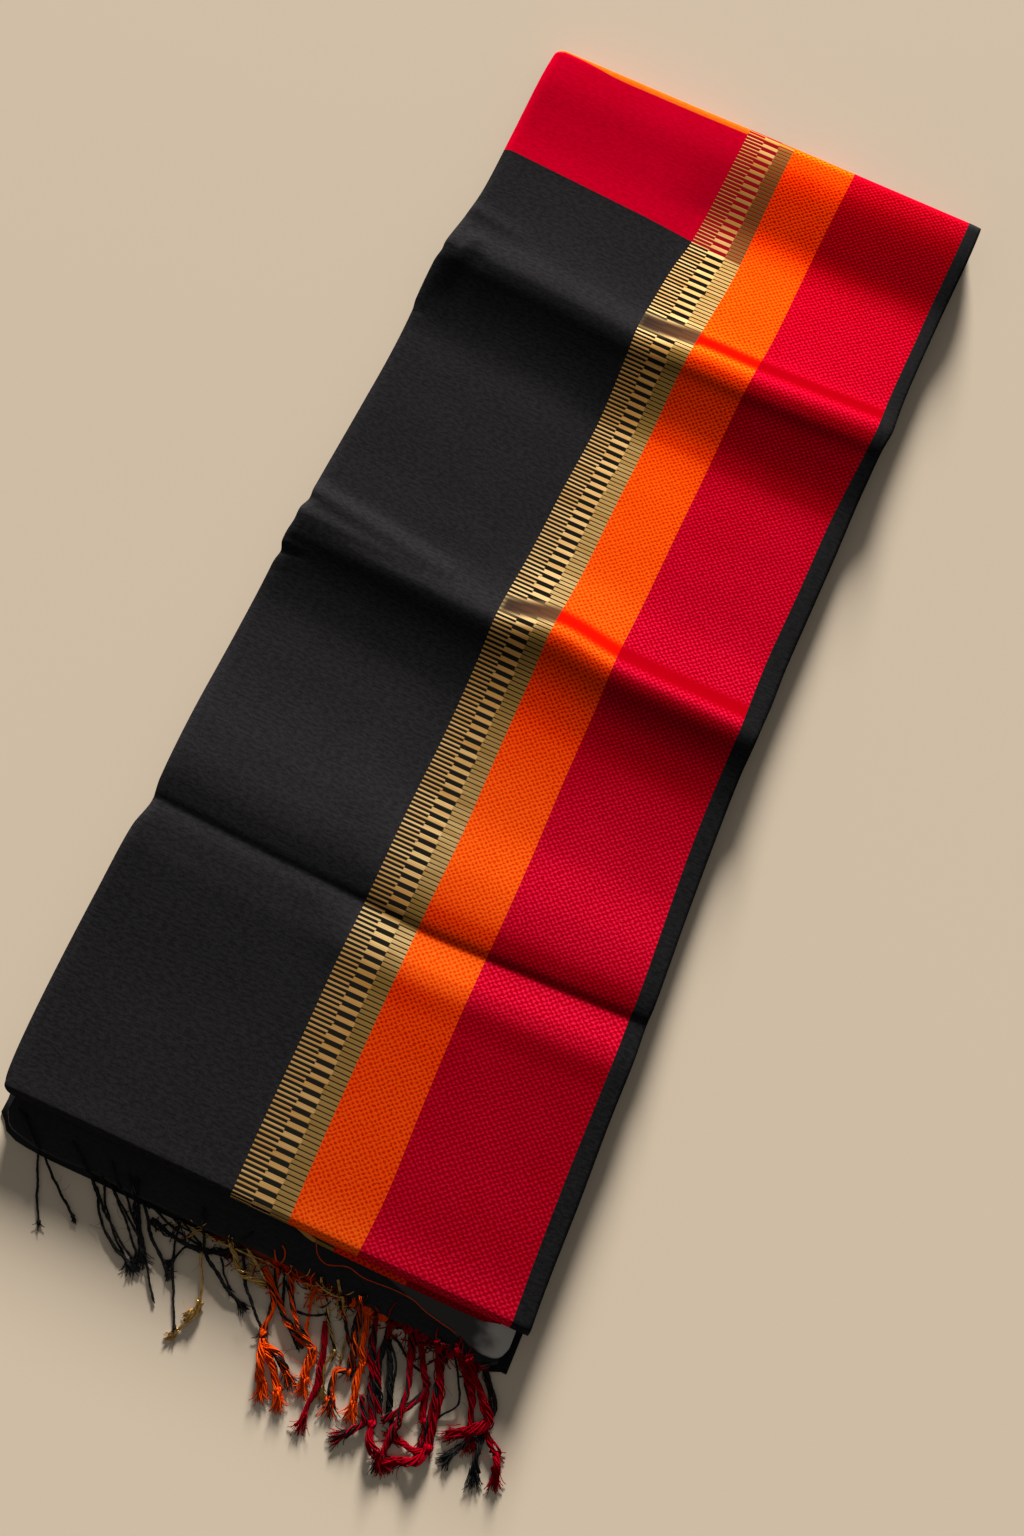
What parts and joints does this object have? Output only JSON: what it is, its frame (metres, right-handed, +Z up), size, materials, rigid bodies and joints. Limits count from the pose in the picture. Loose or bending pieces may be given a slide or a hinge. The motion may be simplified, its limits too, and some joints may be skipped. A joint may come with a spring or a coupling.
{
  "type": "maheshwari sari",
  "caption": "Maheshwari sari folded into a long flat packet, black body up, with a zari, orange and crimson border along one side and a knotted fringe at the near end.",
  "frame": {"origin": "middle of the footprint, fringe included, at the level of the table", "axes": "+Y along the packet from the fringe to the far fold, +X across it towards the border's selvedge, +Z up from the table"},
  "size_m": [0.3096, 0.784, 0.0203],
  "materials": {
    "body_cloth": "fine plain weave silk-cotton, soft sheen, with a woven zari, orange and crimson border",
    "pallu_cloth": "plain weave silk-cotton with cross stripes, silky sheen",
    "layered_cloth": "folded edges of the same woven cloth",
    "black_fringe": "twisted and knotted warp ends",
    "gold_fringe": "twisted and knotted zari ends, metallic",
    "orange_fringe": "twisted and knotted silk ends",
    "crimson_fringe": "twisted and knotted silk ends"
  },
  "bodies": {
    "root": {"top_stretch": "body_cloth", "middle_stretch": "body_cloth", "pallu_stretch": "pallu_cloth", "folded_layers": "layered_cloth", "fringe_body": "black_fringe", "fringe_zari": "gold_fringe", "fringe_orange": "orange_fringe", "fringe_crimson": "crimson_fringe", "fringe_selvedge": "black_fringe"}
  },
  "joints": []
}
